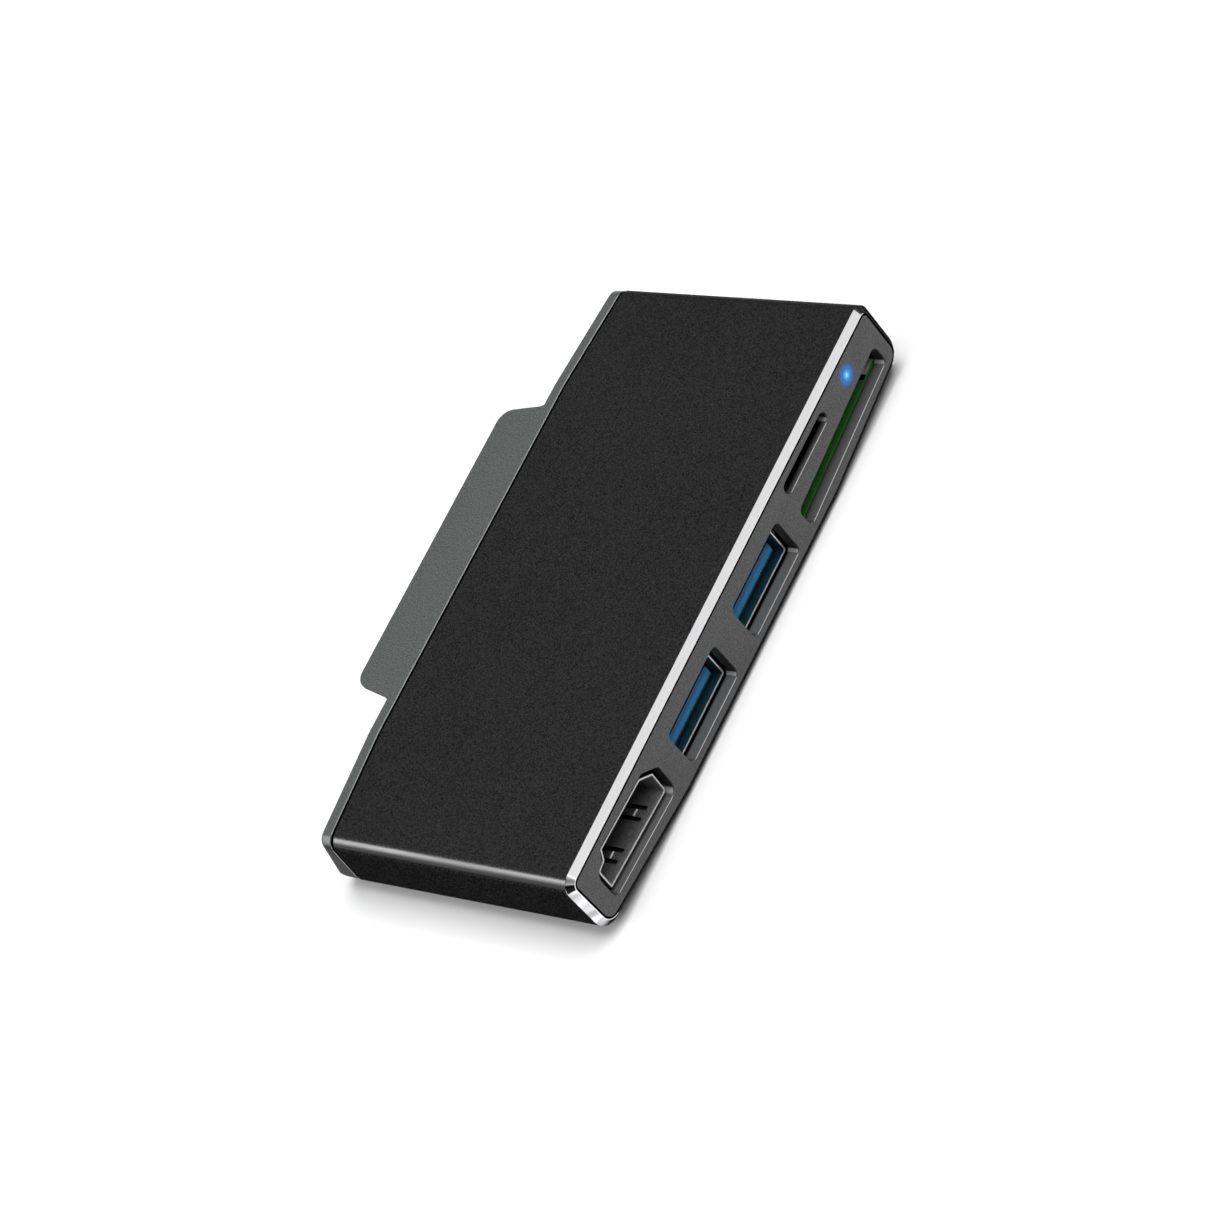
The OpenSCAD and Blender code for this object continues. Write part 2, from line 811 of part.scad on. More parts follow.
module display_plug_insulator() {
    color("#161616")
    difference() {
        union() {
            prism(plug_notch_d + 1.9, display_tip_d - 0.5) display_plug_outline(-sheet_t - 0.03);
            block([plug_notch_d + 0.1, plug_notch_d + 2], about(-plug_y, [-3.7, 3.7]),
                  [plug_z - 1.9, plug_z + 2.2]);
        }
        // Slot that takes the tablet's own tongue
        block([47, far], about(-plug_y, [-2.95, 2.95]), [plug_z - 0.42, plug_z + 0.42]);
        display_plug_strips(slot_gap);
    }
}

module display_plug_contacts() {
    color("gold") display_plug_strips(0);
}

sleeve();
port_fascia();
plug_end_cap();
board_tray();
tray_screws();
main_board();
sd_board();
board_link();
sd_board_tape();
card_board();
board_header();
header_pins();
card_board_tape();
hub_chip();
video_chip();
reader_chip();
crystal();
inductors();
capacitors();
small_passives();
hdmi_shell();
hdmi_insulator();
hdmi_contacts();
usb_port_1_shell();
usb_port_1_insulator();
usb_port_1_contacts();
usb_port_2_shell();
usb_port_2_insulator();
usb_port_2_contacts();
sd_cover();
sd_base();
sd_contacts();
sd_slider();
sd_spring();
microsd_cover();
microsd_base();
microsd_contacts();
microsd_slider();
microsd_spring();
led();
light_pipe();
usb_plug_shell();
usb_plug_insulator();
usb_plug_contacts();
display_plug_shell();
display_plug_insulator();
display_plug_contacts();
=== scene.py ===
"""Looks of a side-docking tablet hub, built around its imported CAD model.

Everything is in metres in the CAD frame: +X towards the ports, +Y along the
length, +Z up, and the floor is at Z = 0.
"""

import json
import math

import bmesh
import bpy
from mathutils import Matrix, Quaternion, Vector


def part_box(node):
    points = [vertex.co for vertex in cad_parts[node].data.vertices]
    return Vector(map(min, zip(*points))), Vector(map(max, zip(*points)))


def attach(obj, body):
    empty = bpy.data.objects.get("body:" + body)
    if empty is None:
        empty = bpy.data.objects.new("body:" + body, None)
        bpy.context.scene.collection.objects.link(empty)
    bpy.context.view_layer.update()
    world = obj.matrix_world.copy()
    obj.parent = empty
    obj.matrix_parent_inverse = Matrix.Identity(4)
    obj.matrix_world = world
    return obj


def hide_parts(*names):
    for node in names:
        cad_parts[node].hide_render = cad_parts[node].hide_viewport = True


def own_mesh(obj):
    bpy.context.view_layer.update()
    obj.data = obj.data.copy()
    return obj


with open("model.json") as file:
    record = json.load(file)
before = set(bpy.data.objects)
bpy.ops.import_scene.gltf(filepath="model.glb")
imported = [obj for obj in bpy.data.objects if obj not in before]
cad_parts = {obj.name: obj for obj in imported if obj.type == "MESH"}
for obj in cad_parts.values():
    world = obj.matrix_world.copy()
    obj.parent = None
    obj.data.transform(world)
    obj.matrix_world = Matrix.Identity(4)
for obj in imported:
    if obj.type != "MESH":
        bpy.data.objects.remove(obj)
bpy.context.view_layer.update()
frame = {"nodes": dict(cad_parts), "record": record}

MM = 0.001

# ---- Driving sizes, in millimetres, read from the frame where it holds them ----

_, SLEEVE_HI = (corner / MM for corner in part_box("sleeve"))
FASCIA_LO, FASCIA_HI = (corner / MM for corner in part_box("port_fascia"))
CAP_LO, _ = (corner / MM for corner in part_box("plug_end_cap"))

FRONT = SLEEVE_HI.x
HALF_LEN = SLEEVE_HI.y
BODY_T = SLEEVE_HI.z
END_T = 11.2
FLAT_HALF = 23.0
TOP_R = 2.1
LOW_R = 3.0
WALL = 1.0
CHAMFER = 0.8  # along X
CHAMFER_RUN = 0.93  # across
FASCIA_GAP = 0.25
FASCIA_T = FASCIA_HI.x - FASCIA_LO.x
SWEEP_Y = 28.0
SLEEVE_D = 42.4
CAP_W = 2.1
JOINT_GAP = 0.35
CAP_INSET = 0.1
CAP_EDGE = 0.1
CAP_END_R = 1.2
CAP_TOP_R = 0.45
CAP_LOW_R = 1.1
JOINT_LEAN = math.radians(8)
CAP_LEAN = math.radians(22.5)
END_SWEEP = math.radians(4.5)
TONGUE_D = FRONT - CAP_LO.x
TONGUE_Y = 0.85
TONGUE_HALF = 23.5
TONGUE_T = 0.6
TONGUE_SPLAY = math.radians(11)
TONGUE_R = 2.3
SLOPE = math.atan((BODY_T - END_T) / (HALF_LEN - FLAT_HALF))

# Openings are given along Y and Z, and depths (_D) are measured back from the fascia's face
TILT = math.radians(3.3)
SHEET_T = 0.3
USB_Y = (5.8, -13.25)
USB_Z = 5.6
USB_OPEN, USB_OPEN_R = (13.8, 6.4), 0.9
USB_SHELL, USB_SHELL_R = (13.1, 5.72), 0.5
USB_RIM_D, USB_BACK_D = 1.9, 15.5
HDMI_Y, HDMI_Z = -32.4, 7.0
HDMI_HALF_H = 2.72
HDMI_MARGIN = 0.8
HDMI_RIM_D, HDMI_BACK_D = 0.75, 12.0
HDMI_SPRINGS_Y = (-3.1, 3.4)
SD_Y, SD_Z = 29.05, 4.8
SD_OPEN, SD_OPEN_R = (25.4, 3.35), 0.95
MSD_Y, MSD_Z = 22.8, 9.65
MSD_OPEN, MSD_OPEN_R = (12.4, 1.85), 0.92
LED_Y, LED_Z = 35.4, 9.4
PIPE_R = 0.9
PIPE_GAP = 0.02


# ---- Camera, floor and light ----

AIM = Vector((18.2, -8.3, 18.6)) * MM
AZIMUTH = math.radians(60.9)
ELEVATION = math.radians(41.23)
ROLL = math.radians(-42.54)
DISTANCE = 0.5426
LENS = 127.7
SENSOR = 36.0

FLOOR_HALF = 3.0
FLOOR_TONE = 0.74
LIGHT_AIM = Vector((0.0, 0.0, 0.006))
WORLD_COLOUR = (0.95, 0.97, 1.0, 1)
WORLD_STRENGTH = 0.05


def make_camera():
    data = bpy.data.cameras.new("camera")
    data.lens = LENS
    data.sensor_width = SENSOR
    data.clip_start = 0.01
    camera = bpy.data.objects.new("camera", data)
    back = Vector((math.sin(AZIMUTH) * math.cos(ELEVATION),
                   -math.cos(AZIMUTH) * math.cos(ELEVATION), math.sin(ELEVATION)))
    camera.location = AIM + back * DISTANCE
    level = (-back).to_track_quat("-Z", "Y").to_matrix()
    camera.rotation_euler = (level @ Matrix.Rotation(ROLL, 3, "Z")).to_euler()
    bpy.context.scene.collection.objects.link(camera)
    bpy.context.scene.camera = camera


def make_floor():
    mesh = bpy.data.meshes.new("floor")
    corners = [(x * FLOOR_HALF, y * FLOOR_HALF, 0) for x, y in ((-1, -1), (1, -1), (1, 1), (-1, 1))]
    mesh.from_pydata(corners, [], [(0, 1, 2, 3)])
    floor = bpy.data.objects.new("floor", mesh)
    bpy.context.scene.collection.objects.link(floor)
    material, _, _, shader = new_material("floor_paper")
    shader.inputs["Base Color"].default_value = (FLOOR_TONE, FLOOR_TONE, FLOOR_TONE, 1)
    shader.inputs["Roughness"].default_value = 0.9
    shader.inputs["Specular IOR Level"].default_value = 0.1
    mesh.materials.append(material)


def softbox(name, towards, distance, width, height, radiance, roll=0.0):
    """A soft rectangular light in a given direction; its brightness doesn't depend on its size."""
    data = bpy.data.lights.new(name, "AREA")
    data.shape = "RECTANGLE"
    data.size, data.size_y = width, height
    data.energy = radiance * math.pi * width * height
    light = bpy.data.objects.new(name, data)
    light.location = Vector(towards).normalized() * distance
    level = (LIGHT_AIM - light.location).to_track_quat("-Z", "Y")
    light.rotation_euler = (level @ Quaternion((0, 0, 1), roll)).to_euler()
    bpy.context.scene.collection.objects.link(light)


def make_lights():
    """Three lights that the chamfer, its corner and the round edges mirror, and one overhead."""
    softbox("chamfer_light", towards=(0.75, 0.366, 0.551), distance=0.9,
            width=0.55, height=0.55, radiance=0.80)
    softbox("corner_light", towards=(0.874, -0.186, 0.407), distance=0.9,
            width=0.75, height=0.14, radiance=0.9, roll=math.radians(29))
    softbox("round_light", towards=(-0.657, -0.52, 0.50), distance=0.8,
            width=0.16, height=0.40, radiance=20.0)
    softbox("overhead", towards=(0.25, 0.10, 0.96), distance=1.0,
            width=0.85, height=0.85, radiance=7.0)
    world = bpy.data.worlds.new("studio")
    world.use_nodes = True
    background = world.node_tree.nodes["Background"]
    background.inputs["Color"].default_value = WORLD_COLOUR
    background.inputs["Strength"].default_value = WORLD_STRENGTH
    bpy.context.scene.world = world
    bpy.context.scene.view_settings.view_transform = "Standard"


# ---- Materials ----

# The sprayed paint's grain, as noise per metre, and its height in metres
PAINT_GRAIN = 5200.0
PAINT_DEPTH = 0.000015

# Directions that a surface can face
UP, DOWN = (0, 0, 1), (0, 0, -1)
FAR_END, NEAR_END = (0, 1, 0), (0, -1, 0)


def new_material(name):
    material = bpy.data.materials.new(name)
    material.use_nodes = True
    nodes, links = material.node_tree.nodes, material.node_tree.links
    return material, nodes, links, nodes["Principled BSDF"]


def noise(nodes, links, scale, detail=3.0, stretch=None):
    """Noise in the object's own coordinates, in metres, so its grain has a real size."""
    place = nodes.new("ShaderNodeTexCoord")
    texture = nodes.new("ShaderNodeTexNoise")
    texture.inputs["Scale"].default_value = scale
    texture.inputs["Detail"].default_value = detail
    if stretch is None:
        links.new(place.outputs["Object"], texture.inputs["Vector"])
    else:
        mapping = nodes.new("ShaderNodeMapping")
        mapping.inputs["Scale"].default_value = stretch
        links.new(place.outputs["Object"], mapping.inputs["Vector"])
        links.new(mapping.outputs["Vector"], texture.inputs["Vector"])
    return texture.outputs["Fac"]


def ramp(nodes, links, source, stops):
    """A colour ramp; each stop is (place, colour)."""
    node = nodes.new("ShaderNodeValToRGB")
    elements = node.color_ramp.elements
    while len(elements) < len(stops):
        elements.new(0.5)
    for element, (place, colour) in zip(elements, stops):
        element.position = place
        element.color = (*colour, 1)
    links.new(source, node.inputs["Fac"])
    return node.outputs["Color"]


def bump(nodes, links, shader, height, strength, distance):
    node = nodes.new("ShaderNodeBump")
    node.inputs["Strength"].default_value = strength
    node.inputs["Distance"].default_value = distance
    links.new(height, node.inputs["Height"])
    links.new(node.outputs["Normal"], shader.inputs["Normal"])


def map_range(nodes, links, source, low, high, to_low=0.0, to_high=1.0):
    node = nodes.new("ShaderNodeMapRange")
    node.inputs["From Min"].default_value = low
    node.inputs["From Max"].default_value = high
    node.inputs["To Min"].default_value = to_low
    node.inputs["To Max"].default_value = to_high
    links.new(source, node.inputs["Value"])
    return node.outputs["Result"]


def grained(name, dark, light, roughness, metallic, specular, grain, depth, cloud=60.0):
    """A matte skin with a fine even grain and faint broad variation in its sheen.

    grain and cloud are noise scales per metre, and depth is the grain's height in metres.
    """
    material, nodes, links, shader = new_material(name)
    fine = noise(nodes, links, grain, detail=2.0)
    broad = noise(nodes, links, cloud, detail=4.0)
    links.new(ramp(nodes, links, fine, [(0.34, dark), (0.66, light)]), shader.inputs["Base Color"])
    spread = 0.04
    links.new(map_range(nodes, links, broad, 0.3, 0.7, roughness - spread, roughness + spread),
              shader.inputs["Roughness"])
    shader.inputs["Metallic"].default_value = metallic
    shader.inputs["Specular IOR Level"].default_value = specular
    bump(nodes, links, shader, fine, strength=0.35, distance=depth)
    return material


def facing(nodes, links, direction, low, high, both_ends=False):
    """1 where the surface faces a direction, fading to 0; low and high are cosines."""
    normal = nodes.new("ShaderNodeNewGeometry").outputs["Normal"]
    if both_ends:
        mirror = nodes.new("ShaderNodeVectorMath")
        mirror.operation = "ABSOLUTE"
        links.new(normal, mirror.inputs[0])
        normal = mirror.outputs["Vector"]
    dot = nodes.new("ShaderNodeVectorMath")
    dot.operation = "DOT_PRODUCT"
    dot.inputs[1].default_value = Vector(direction).normalized()
    links.new(normal, dot.inputs[0])
    return map_range(nodes, links, dot.outputs["Value"], low, high)


def times(nodes, links, first, second):
    node = nodes.new("ShaderNodeMath")
    node.operation = "MULTIPLY"
    links.new(first, node.inputs[0])
    links.new(second, node.inputs[1])
    return node.outputs["Value"]


def overlay(material, share, colour):
    """Mixes a colour, or a colour output, over what a material has so far."""
    nodes, links = material.node_tree.nodes, material.node_tree.links
    base = nodes["Principled BSDF"].inputs["Base Color"]
    node = nodes.new("ShaderNodeMix")
    node.data_type = "RGBA"
    links.new(share, node.inputs["Factor"])
    links.new(base.links[0].from_socket, node.inputs["A"])
    if isinstance(colour, tuple):
        node.inputs["B"].default_value = (*colour, 1)
    else:
        links.new(colour, node.inputs["B"])
    links.new(node.outputs["Result"], base)


def place_along(nodes, links, axis):
    """The place on the object along one axis, in metres."""
    place = nodes.new("ShaderNodeTexCoord")
    parts = nodes.new("ShaderNodeSeparateXYZ")
    links.new(place.outputs["Object"], parts.inputs["Vector"])
    return parts.outputs[axis]


def past(nodes, links, axis, start, end, falling=False):
    """Goes from 0 to 1, or falls from 1 to 0, between two places in millimetres along one axis."""
    first, last = (1.0, 0.0) if falling else (0.0, 1.0)
    place = place_along(nodes, links, axis)
    return map_range(nodes, links, place, start * MM, end * MM, first, last)


def glow_reach(nodes, links):
    """Distance from the middle of the indicator."""
    place = nodes.new("ShaderNodeTexCoord")
    reach = nodes.new("ShaderNodeVectorMath")
    reach.operation = "DISTANCE"
    reach.inputs[1].default_value = Vector((FRONT, LED_Y, LED_Z)) * MM
    links.new(place.outputs["Object"], reach.inputs[0])
    return reach.outputs["Value"]


def black_anodised():
    """Bead-blasted anodised aluminium, with painted shade on both end walls and a painted highlight
    along their top edge.

    Its dark specular tint keeps it dark where it is seen edge on.
    """
    blast_grain = 6500.0
    top_edge = (0, 0.68, 0.73)
    material = grained("black_anodised", (0.012, 0.012, 0.0125), (0.056, 0.056, 0.057),
                       roughness=0.30, metallic=0.6, specular=0.0,
                       grain=blast_grain, depth=0.000012)
    nodes, links = material.node_tree.nodes, material.node_tree.links
    nodes["Principled BSDF"].inputs["Specular Tint"].default_value = (0.1, 0.1, 0.1, 1)
    # Painted shade: darker grain on both end walls
    end_grain_painted_shade = ramp(nodes, links, noise(nodes, links, blast_grain, detail=2.0),
                     [(0.36, (0.003, 0.003, 0.003)), (0.64, (0.046, 0.046, 0.047))])
    overlay(material, facing(nodes, links, FAR_END, 0.78, 0.88, both_ends=True), end_grain_painted_shade)
    # Painted highlight: a paler band along the top edge of both end walls
    overlay(material, facing(nodes, links, top_edge, 0.945, 0.975, both_ends=True),
            (0.075, 0.075, 0.075))
    return material


def grey_fascia():
    """Painted fascia, with painted light and shade in the openings, painted highlights on their
    lower edges and corners, and a painted glow round the light pipe.
    """
    corner_highlight_facing, edge_highlight_facing = (0, -0.62, 0.78), (1, 0, 1)
    material = grained("grey_fascia", (0.033, 0.033, 0.034), (0.084, 0.084, 0.086),
                       roughness=0.42, metallic=0.25, specular=0.4,
                       grain=PAINT_GRAIN, depth=PAINT_DEPTH)
    nodes, links = material.node_tree.nodes, material.node_tree.links
    depth = past(nodes, links, "X", FRONT - FASCIA_T, FRONT)
    up = facing(nodes, links, UP, 0.93, 0.99)
    # Painted light on the openings' lower walls, against their shade, with a painted shadow along
    # their back
    overlay(material, up, ramp(nodes, links, depth, [
        (0.0, (0.004, 0.004, 0.004)), (0.14, (0.11, 0.11, 0.11)),
        (0.5, (0.12, 0.12, 0.121)), (1.0, (0.085, 0.085, 0.086))]))
    # Painted shade on the small card slot's lower wall, black towards its back
    small_slot = past(nodes, links, "Z", 8.0, 8.2)
    overlay(material, times(nodes, links, up, small_slot), ramp(nodes, links, depth, [
        (0.45, (0.001, 0.001, 0.001)), (0.62, (0.05, 0.05, 0.05)), (0.9, (0.08, 0.08, 0.081))]))
    # Painted shade on the openings' end walls
    overlay(material, facing(nodes, links, FAR_END, 0.5, 0.8, both_ends=True), (0.02, 0.02, 0.02))
    # Painted highlight on the openings' lower corners
    overlay(material, facing(nodes, links, corner_highlight_facing, 0.93, 0.99), (0.40, 0.40, 0.405))
    # Painted highlight along the openings' lower front edges, kept below the plate's top edge
    below_top = past(nodes, links, "Z", 10.4, 10.6, falling=True)
    edge = facing(nodes, links, edge_highlight_facing, 0.965, 0.998)
    overlay(material, times(nodes, links, edge, below_top), (0.42, 0.42, 0.43))
    # Painted glow round the light pipe: a blue tint and emission on the fascia
    glow = map_range(nodes, links, glow_reach(nodes, links), 0.6 * MM, 1.9 * MM, 1.0, 0.0)
    overlay(material, glow, (0.002, 0.010, 0.030))
    tint = ramp(nodes, links, glow, [(0.0, (0, 0, 0)), (0.3, (0.001, 0.025, 0.09)),
                                     (0.65, (0.006, 0.11, 0.42)), (1.0, (0.012, 0.26, 0.78))])
    shader = nodes["Principled BSDF"]
    links.new(tint, shader.inputs["Emission Color"])
    shader.inputs["Emission Strength"].default_value = 1.0
    return material


def grey_cap():
    """Painted cap, with painted shade on both end faces and a painted highlight over their upper
    corner.
    """
    cap_highlight_facing = (0, 0.66, 0.75)
    material = grained("grey_cap", (0.050, 0.053, 0.052), (0.112, 0.117, 0.115),
                       roughness=0.50, metallic=0.15, specular=0.08,
                       grain=PAINT_GRAIN, depth=PAINT_DEPTH)
    nodes, links = material.node_tree.nodes, material.node_tree.links
    # Painted shade on both end faces
    overlay(material, facing(nodes, links, FAR_END, 0.8, 0.97, both_ends=True),
            (0.013, 0.0135, 0.0135))
    # Painted highlight over the upper corner of both ends
    overlay(material, facing(nodes, links, cap_highlight_facing, 0.93, 0.98, both_ends=True),
            (0.165, 0.17, 0.168))
    return material


def burnished(name, colour):
    """A thin edge rubbed bright, and a little duller where the wear is less."""
    dull_share = 0.8
    material, nodes, links, shader = new_material(name)
    wear = noise(nodes, links, scale=700.0, detail=4.0)
    dull = tuple(part * dull_share for part in colour)
    links.new(ramp(nodes, links, wear, [(0.3, dull), (0.7, colour)]), shader.inputs["Base Color"])
    links.new(map_range(nodes, links, wear, 0.3, 0.7, 0.24, 0.36), shader.inputs["Roughness"])
    shader.inputs["Metallic"].default_value = 1.0
    return material


def bright_cut():
    """Diamond-cut aluminium: even along the top, with painted reflection bands down the near end.

    Painted dark reflections turn the cut dark round its near upper corner, at the far end and
    underneath, where the anodising starts.
    """
    material, nodes, links, shader = new_material("bright_cut")
    lines = noise(nodes, links, scale=500.0, stretch=(4.0, 1.0, 4.0))
    links.new(ramp(nodes, links, lines, [(0.3, (0.84, 0.84, 0.85)), (0.7, (0.88, 0.88, 0.89))]),
              shader.inputs["Base Color"])
    shader.inputs["Roughness"].default_value = 0.13
    shader.inputs["Metallic"].default_value = 1.0
    # Painted reflection: light and dark bands down the near end
    bands = noise(nodes, links, scale=180.0, detail=1.0, stretch=(1.0, 1.0, 3.0))
    painted_reflection_bands = ramp(nodes, links, bands, [(0.38, (0.42, 0.42, 0.43)), (0.62, (0.90, 0.90, 0.91))])
    overlay(material, facing(nodes, links, NEAR_END, 0.3, 0.6), painted_reflection_bands)
    # Painted dark reflections at the near upper corner, the far end and underneath
    dark, dark_reflection_corner = (0.012, 0.012, 0.012), (0.758, -0.58, 0.296)
    for direction, low, high in ((dark_reflection_corner, 0.978, 0.988), (FAR_END, 0.20, 0.42),
                                 (DOWN, 0.12, 0.42)):
        overlay(material, facing(nodes, links, direction, low, high), dark)
    return material


def plated(name, dark, light, roughness, scale=1500.0, stretch=(1.0, 8.0, 8.0), metallic=1.0):
    """Plated or rolled sheet metal with fine draw lines."""
    material, nodes, links, shader = new_material(name)
    lines = noise(nodes, links, scale, stretch=stretch)
    links.new(ramp(nodes, links, lines, [(0.3, dark), (0.7, light)]), shader.inputs["Base Color"])
    spread = 0.03
    links.new(map_range(nodes, links, lines, 0.3, 0.7, roughness - spread, roughness + spread),
              shader.inputs["Roughness"])
    shader.inputs["Metallic"].default_value = metallic
    return material


def moulded(name, dark, light, roughness, grain=3000.0):
    """Moulded plastic with a faint flow pattern and fine texture."""
    return grained(name, dark, light, roughness, metallic=0.0, specular=0.4,
                   grain=grain, depth=0.00001, cloud=300.0)


def blue_plastic():
    """Blue moulding, with painted shade on the ports' tongues towards the upper face and
    underneath.
    """
    material = moulded("blue_plastic", (0.012, 0.19, 0.40), (0.018, 0.24, 0.50),
                       roughness=0.30)
    nodes, links = material.node_tree.nodes, material.node_tree.links
    ports = past(nodes, links, "X", 0.0, 1.0)
    # Painted shade over the tongues' upper part
    shaded_upper = past(nodes, links, "Z", 4.6, 5.2)
    overlay(material, times(nodes, links, shaded_upper, ports), (0.007, 0.095, 0.22))
    # Painted shade along the tongues' underside
    under = past(nodes, links, "Z", 4.0, 4.15, falling=True)
    overlay(material, times(nodes, links, under, ports), (0.004, 0.026, 0.038))
    return material


def circuit_board():
    """Solder mask over copper, with faint traces and vias.

    The front margin is black beside the USB ports.
    """
    material, nodes, links, shader = new_material("circuit_board")
    place = nodes.new("ShaderNodeTexCoord")
    cells = nodes.new("ShaderNodeTexVoronoi")
    cells.inputs["Scale"].default_value = 520.0
    links.new(place.outputs["Object"], cells.inputs["Vector"])
    brick = nodes.new("ShaderNodeTexBrick")
    brick.inputs["Scale"].default_value = 260.0
    brick.inputs["Mortar Size"].default_value = 0.03
    brick.inputs["Color1"].default_value = (0.040, 0.240, 0.040, 1)
    brick.inputs["Color2"].default_value = (0.043, 0.255, 0.043, 1)
    brick.inputs["Mortar"].default_value = (0.036, 0.220, 0.036, 1)
    links.new(place.outputs["Object"], brick.inputs["Vector"])
    via = ramp(nodes, links, cells.outputs["Distance"],
               [(0.05, (1, 1, 1)), (0.09, (0, 0, 0))])
    mix = nodes.new("ShaderNodeMix")
    mix.data_type = "RGBA"
    mix.inputs["B"].default_value = (0.32, 0.30, 0.16, 1)
    links.new(via, mix.inputs["Factor"])
    links.new(brick.outputs["Color"], mix.inputs["A"])
    links.new(mix.outputs["Result"], shader.inputs["Base Color"])
    front = past(nodes, links, "X", 23.5, 24.0)
    beside_usb = past(nodes, links, "Y", 15.0, 15.5, falling=True)
    overlay(material, times(nodes, links, front, beside_usb), (0.004, 0.010, 0.004))
    rough = noise(nodes, links, scale=1200.0)
    links.new(map_range(nodes, links, rough, 0.3, 0.7, 0.32, 0.42), shader.inputs["Roughness"])
    bump(nodes, links, shader, brick.outputs["Fac"], strength=0.2, distance=0.00003)
    return material


def lit_blue():
    """The lit face of the light pipe: cyan in the middle, deep blue at its rim."""
    material, nodes, links, shader = new_material("lit_blue")
    span = map_range(nodes, links, glow_reach(nodes, links), 0.0, PIPE_R * MM)
    glow = ramp(nodes, links, span, [(0.0, (0.30, 0.90, 1.0)), (0.30, (0.05, 0.52, 0.90)),
                                     (0.65, (0.006, 0.22, 0.60)), (1.0, (0.002, 0.11, 0.40))])
    links.new(glow, shader.inputs["Emission Color"])
    shader.inputs["Emission Strength"].default_value = 1.0
    grain = noise(nodes, links, scale=4000.0)
    links.new(ramp(nodes, links, grain, [(0.3, (0.001, 0.01, 0.03)), (0.7, (0.002, 0.015, 0.04))]),
              shader.inputs["Base Color"])
    shader.inputs["Roughness"].default_value = 0.3
    return material


def make_materials():
    """Every material by name. A name is a slot of the record's, or one that looks refers to."""
    return {
        "black_anodised": black_anodised(),
        "bright_cut": bright_cut(),
        "grey_fascia": grey_fascia(),
        "grey_cap": grey_cap(),
        "black_plastic": moulded("black_plastic", (0.006, 0.006, 0.0065),
                                 (0.013, 0.013, 0.0135), roughness=0.45),
        "white_plastic": moulded("white_plastic", (0.55, 0.55, 0.51), (0.68, 0.68, 0.64),
                                 roughness=0.4),
        "blue_plastic": blue_plastic(),
        "foam_tape": moulded("foam_tape", (0.02, 0.02, 0.02), (0.06, 0.06, 0.06),
                             roughness=0.9, grain=2500.0),
        "circuit_board": circuit_board(),
        "chip_resin": moulded("chip_resin", (0.012, 0.012, 0.013), (0.024, 0.024, 0.025),
                              roughness=0.55),
        "capacitor_body": moulded("capacitor_body", (0.26, 0.17, 0.06), (0.38, 0.26, 0.11),
                                  roughness=0.4),
        "nickel_plate": plated("nickel_plate", (0.58, 0.59, 0.60), (0.68, 0.69, 0.70),
                               roughness=0.3),
        "steel": plated("steel", (0.66, 0.60, 0.42), (0.90, 0.84, 0.62),
                        roughness=0.4, metallic=0.0),
        "spring_steel": plated("spring_steel", (0.42, 0.42, 0.43), (0.58, 0.58, 0.60),
                               roughness=0.3),
        "gold_contact": plated("gold_contact", (0.74, 0.50, 0.16), (0.90, 0.66, 0.26),
                               roughness=0.24),
        "lit_blue": lit_blue(),
        "shell_rim": burnished("shell_rim", (0.80, 0.80, 0.80)),
        # The display port shell's inside: nickel with painted shade
        "shaded_shell_inside": grained("shaded_shell_inside", (0.095, 0.095, 0.095),
                                     (0.15, 0.15, 0.148), roughness=0.34, metallic=0.3,
                                     specular=0.4, grain=2500.0, depth=0.000004),
        # The USB shells' inside: painted shade and a painted blue reflection
        "shaded_teal_reflection_inside": grained("shaded_teal_reflection_inside", (0.006, 0.030, 0.044),
                                     (0.013, 0.050, 0.070), roughness=0.30, metallic=0.1,
                                     specular=0.4, grain=2500.0, depth=0.000004),
        "shadow_gap": grained("shadow_gap", (0.0008, 0.0008, 0.0008),
                              (0.0014, 0.0014, 0.0014), roughness=0.9, metallic=0.0,
                              specular=0.0, grain=3000.0, depth=0.00001),
        # Painted highlight on the display port's springs
        "spring_tip_highlight": moulded("spring_tip_highlight", (0.86, 0.86, 0.86), (0.94, 0.94, 0.94),
                              roughness=0.3),
        "hdmi_rim": burnished("hdmi_rim", (0.48, 0.48, 0.48)),
        "cap_edge": burnished("cap_edge", (0.34, 0.35, 0.35)),
    }


# ---- Mesh helpers ----

SMOOTH_BELOW = 32  # degrees
WELD_MM = 0.0005

def arc(centre, radius, start, end, steps):
    """Points (a, b) along an arc, with angles in degrees."""
    angles = [math.radians(start + (end - start) * i / steps) for i in range(steps + 1)]
    return [(centre[0] + radius * math.cos(a), centre[1] + radius * math.sin(a)) for a in angles]


def mirrored(points):
    """The same points on the other side, in the order that goes on round the outline."""
    return [(-a, b) for a, b in reversed(points)]


def smooth_by_angle(bm, degrees):
    """Shades faces smooth, with a crease where two meet at more than an angle."""
    limit = math.radians(degrees)
    for face in bm.faces:
        face.smooth = True
    for edge in bm.edges:
        if len(edge.link_faces) == 2:
            edge.smooth = edge.calc_face_angle(0) < limit


def new_piece(name, bm, slot, replaced=(), body="hub", degrees=SMOOTH_BELOW, looks=()):
    """Turns a bmesh in millimetres into a piece that rides on a body.

    looks names its materials in order, when they are not just the slot's own.
    """
    bmesh.ops.remove_doubles(bm, verts=bm.verts, dist=WELD_MM)
    bmesh.ops.recalc_face_normals(bm, faces=bm.faces)
    bmesh.ops.scale(bm, vec=(MM, MM, MM), verts=bm.verts)
    smooth_by_angle(bm, degrees)
    mesh = bpy.data.meshes.new(name)
    bm.to_mesh(mesh)
    bm.free()
    piece = bpy.data.objects.new(name, mesh)
    bpy.context.scene.collection.objects.link(piece)
    for material in looks or (slot,):
        mesh.materials.append(MATERIALS[material])
    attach(piece, body)
    if replaced:
        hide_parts(*replaced)
    return piece


